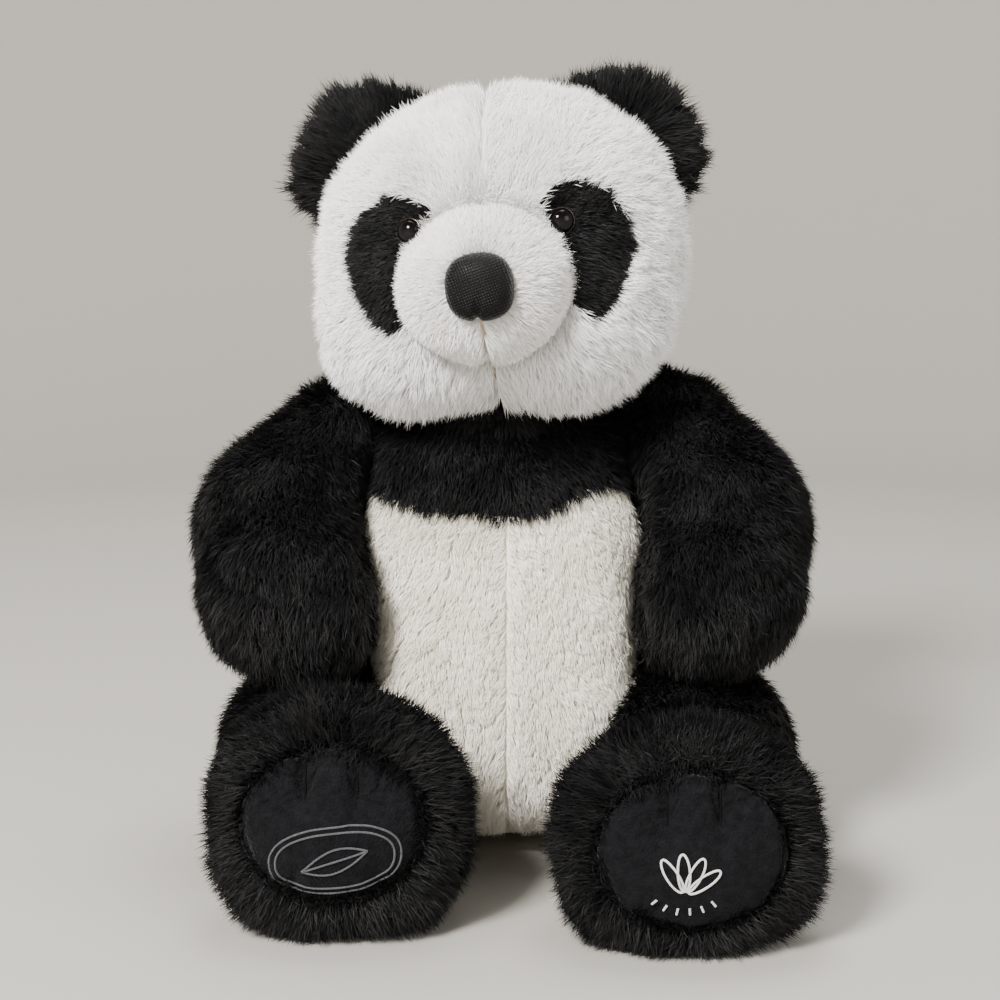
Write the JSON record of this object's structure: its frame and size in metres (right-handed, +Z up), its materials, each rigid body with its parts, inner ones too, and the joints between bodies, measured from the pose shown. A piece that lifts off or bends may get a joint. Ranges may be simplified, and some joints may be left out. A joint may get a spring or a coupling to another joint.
{
  "type": "plush panda",
  "caption": "Seated soft plush panda with sewn fur panels, padded muzzle, stitched soles, and head, arms, legs and ears that move at their seams.",
  "frame": {"origin": "middle of the seat panel's flat underside, on the surface that the panda sits on", "axes": "+Z up; the panda faces -Y; its own left side is +X"},
  "size_m": [0.298, 0.3034, 0.3765],
  "materials": {
    "white_fur": "long soft white pile",
    "black_fur": "long soft black pile",
    "muzzle_fur": "short trimmed white pile",
    "belly_fur": "short ivory pile",
    "sole_fleece": "flat black fleece",
    "nose_cloth": "woven-grain nose cloth, satin",
    "eye_plastic": "gloss",
    "washer_plastic": "moulded",
    "stuffing": "polyester fibre fill",
    "pellet_bag": "cotton bag of pellets",
    "white_thread": "embroidery thread",
    "grey_thread": "embroidery thread",
    "black_thread": "sewing thread"
  },
  "bodies": {
    "arm_left": {"arm_inner_panel_left": "black_fur", "arm_outer_panel_left": "black_fur", "arm_stuffing_left": "stuffing"},
    "arm_right": {"arm_inner_panel_right": "black_fur", "arm_outer_panel_right": "black_fur", "arm_stuffing_right": "stuffing"},
    "torso": {"back_closing_stitches": "white_thread", "belly_panel_left": "belly_fur", "belly_panel_right": "belly_fur", "chest_yoke": "black_fur", "lower_back_panel_left": "white_fur", "lower_back_panel_right": "white_fur", "seat_panel": "white_fur", "seat_pellet_bag": "pellet_bag", "tail_cover": "white_fur", "tail_stuffing": "stuffing", "torso_stuffing": "stuffing", "upper_back_panel": "black_fur"},
    "ear_left": {"ear_back_left": "black_fur", "ear_front_left": "black_fur"},
    "ear_right": {"ear_back_right": "black_fur", "ear_front_right": "black_fur"},
    "head": {"eye_left": "eye_plastic", "eye_patch_left": "black_fur", "eye_patch_right": "black_fur", "eye_right": "eye_plastic", "eye_washer_left": "washer_plastic", "eye_washer_right": "washer_plastic", "face_panel_left": "white_fur", "face_panel_right": "white_fur", "head_back_panel": "white_fur", "head_stuffing": "stuffing", "mouth_stitch": "white_thread", "muzzle_cover": "muzzle_fur", "muzzle_stuffing": "stuffing", "nose_cover": "nose_cloth", "nose_stuffing": "stuffing"},
    "leg_left": {"foot_cover_left": "black_fur", "foot_pellet_bag_left": "pellet_bag", "leg_cover_left": "black_fur", "leg_stuffing_left": "stuffing", "sole_embroidery_left": "white_thread", "sole_left": "sole_fleece", "toe_stitches_left": "black_thread"},
    "leg_right": {"foot_cover_right": "black_fur", "foot_pellet_bag_right": "pellet_bag", "leg_cover_right": "black_fur", "leg_stuffing_right": "stuffing", "sole_embroidery_right": "grey_thread", "sole_right": "sole_fleece", "toe_stitches_right": "black_thread"},
    "neck": {"neck_gathering_thread": "white_thread", "neck_stuffing": "stuffing"}
  },
  "joints": [
    {"name": "neck_turn", "type": "hinge", "parent": "torso", "child": "neck", "pos_m": [0, -0.018, 0.206], "axis": [0, 0, 1], "range_deg": [-25, 25]},
    {"name": "head_nod", "type": "hinge", "parent": "neck", "child": "head", "pos_m": [0, -0.018, 0.232], "axis": [0.9969, -0.0785, 0], "range_deg": [-10, 5]},
    {"name": "shoulder_left", "type": "hinge", "parent": "torso", "child": "arm_left", "pos_m": [0.076, -0.005, 0.183], "axis": [-1, 0, 0], "range_deg": [0, 50]},
    {"name": "shoulder_right", "type": "hinge", "parent": "torso", "child": "arm_right", "pos_m": [-0.076, -0.005, 0.183], "axis": [-1, 0, 0], "range_deg": [0, 50]},
    {"name": "hip_left", "type": "hinge", "parent": "torso", "child": "leg_left", "pos_m": [0.064, -0.012, 0.042], "axis": [0, 0, 1], "range_deg": [-4, 18]},
    {"name": "hip_right", "type": "hinge", "parent": "torso", "child": "leg_right", "pos_m": [-0.064, -0.012, 0.042], "axis": [0, 0, -1], "range_deg": [-4, 18]},
    {"name": "ear_flex_left", "type": "hinge", "parent": "head", "child": "ear_left", "pos_m": [0.06345, -0.02797, 0.34778], "axis": [0.654, -0.0515, -0.7547], "range_deg": [-12, 12], "stiffness_Nm_per_rad": 0.03},
    {"name": "ear_flex_right", "type": "hinge", "parent": "head", "child": "ear_right", "pos_m": [-0.06919, -0.01753, 0.33848], "axis": [0.543, -0.0427, 0.8387], "range_deg": [-12, 12], "stiffness_Nm_per_rad": 0.03}
  ]
}
